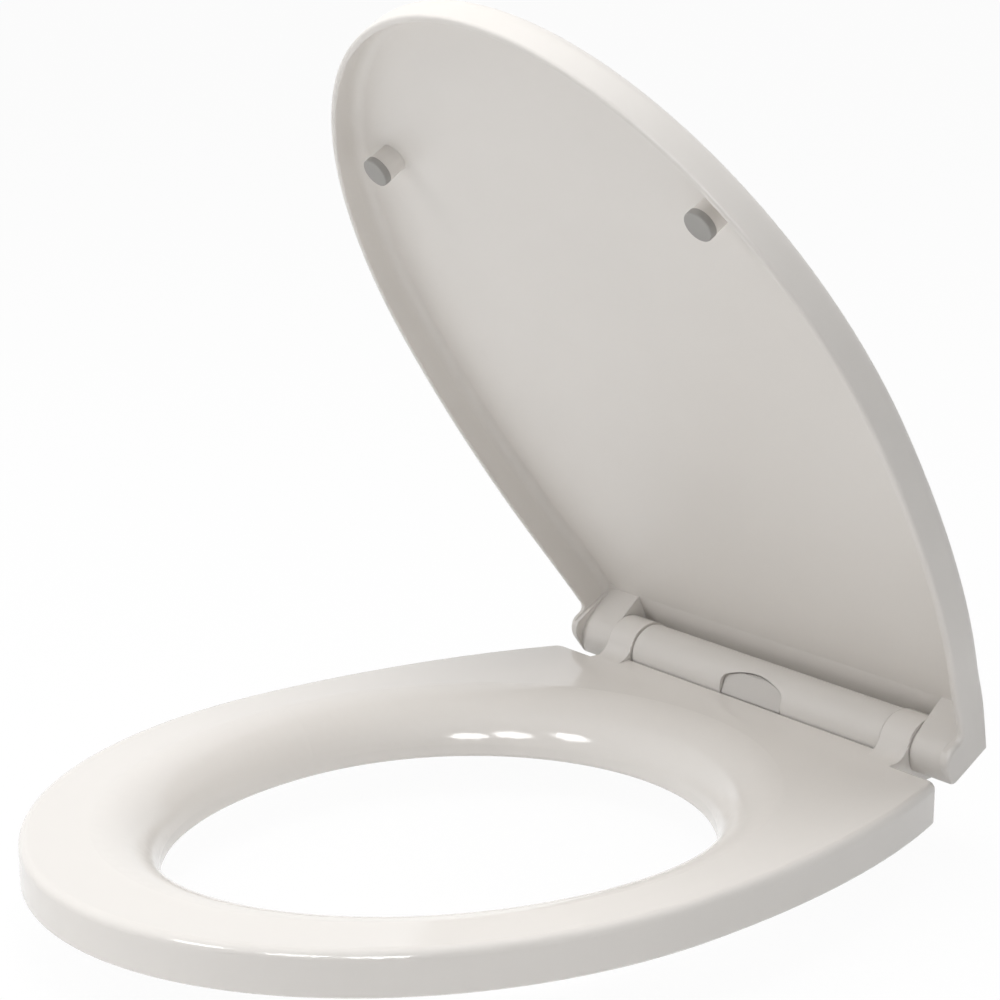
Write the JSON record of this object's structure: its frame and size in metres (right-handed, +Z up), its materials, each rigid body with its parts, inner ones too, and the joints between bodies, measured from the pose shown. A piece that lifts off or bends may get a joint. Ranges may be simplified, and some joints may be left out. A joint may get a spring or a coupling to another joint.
{
  "type": "toilet seat",
  "caption": "Oval toilet seat: a dished ring and a shallow tray lid on a shared barrel hinge, with rubber buffers and a press button that frees the barrel from its deck posts.",
  "frame": {"origin": "midway between the two fixing posts, on the plane of the bowl's deck", "axes": "X along the hinge, to the right of someone facing the seat from its front; the seat's front points to -Y; +Z up"},
  "size_m": [0.36, 0.4574, 0.4342],
  "materials": {
    "seat_plastic": "warm white, polished",
    "hinge_plastic": "warm white, polished",
    "buffer_rubber": "soft, matt, off-white",
    "latch_plastic": "natural, matt",
    "spring_steel": "bright wire",
    "damper_plastic": "dark, matt",
    "shaft_steel": "ground",
    "post_steel": "turned, satin",
    "gasket_rubber": "soft, matt, dark grey"
  },
  "bodies": {
    "base": {"barrel_body": "hinge_plastic", "barrel_cover": "hinge_plastic", "lid_damper_case": "damper_plastic", "ring_damper_case": "damper_plastic", "latch_spring": "spring_steel", "base_plate_left": "post_steel", "base_plate_right": "post_steel", "gasket_left": "gasket_rubber", "gasket_right": "gasket_rubber", "expansion_sleeve_left": "gasket_rubber", "expansion_sleeve_right": "gasket_rubber", "sleeve_nut_left": "post_steel", "sleeve_nut_right": "post_steel"},
    "lid_swing": {"lid": "seat_plastic", "lid_bumper_left": "buffer_rubber", "lid_bumper_right": "buffer_rubber", "lid_damper_shaft": "shaft_steel", "lid_pin": "shaft_steel"},
    "ring_swing": {"seat_ring": "seat_plastic", "ring_buffer_front_left": "buffer_rubber", "ring_buffer_front_right": "buffer_rubber", "ring_buffer_rear_left": "buffer_rubber", "ring_buffer_rear_right": "buffer_rubber", "ring_damper_shaft": "shaft_steel"},
    "button": {"release_button": "hinge_plastic"},
    "latch_left": {"latch_left": "latch_plastic"},
    "latch_right": {"latch_right": "latch_plastic"},
    "post_left": {"post_left": "post_steel"},
    "post_right": {"post_right": "post_steel"}
  },
  "joints": [
    {"name": "lid_hinge", "type": "hinge", "parent": "base", "child": "lid_swing", "pos_m": [0, 0, 0.0353], "axis": [-1, 0, 0], "range_deg": [-58.2, 50]},
    {"name": "ring_hinge", "type": "hinge", "parent": "base", "child": "ring_swing", "pos_m": [0, 0, 0.0353], "axis": [-1, 0, 0], "range_deg": [0, 57]},
    {"name": "button_press", "type": "slide", "parent": "base", "child": "button", "axis": [0, 1, 0], "range_m": [0, 0.003], "stiffness_N_per_m": 800},
    {"name": "latch_left_slide", "type": "slide", "parent": "base", "child": "latch_left", "axis": [1, 0, 0], "range_m": [0, 0.003], "deforming": ["latch_spring"]},
    {"name": "latch_right_slide", "type": "slide", "parent": "base", "child": "latch_right", "axis": [-1, 0, 0], "range_m": [0, 0.003], "deforming": ["latch_spring"]},
    {"name": "post_left_turn", "type": "hinge", "parent": "base", "child": "post_left", "pos_m": [-0.0775, 0, 0], "axis": [0, 0, 1], "continuous": true},
    {"name": "post_right_turn", "type": "hinge", "parent": "base", "child": "post_right", "pos_m": [0.0775, 0, 0], "axis": [0, 0, 1], "continuous": true}
  ],
  "couplings": [
    {"joint": "latch_left_slide", "follows": "button_press", "ratio": 1},
    {"joint": "latch_right_slide", "follows": "button_press", "ratio": 1}
  ]
}
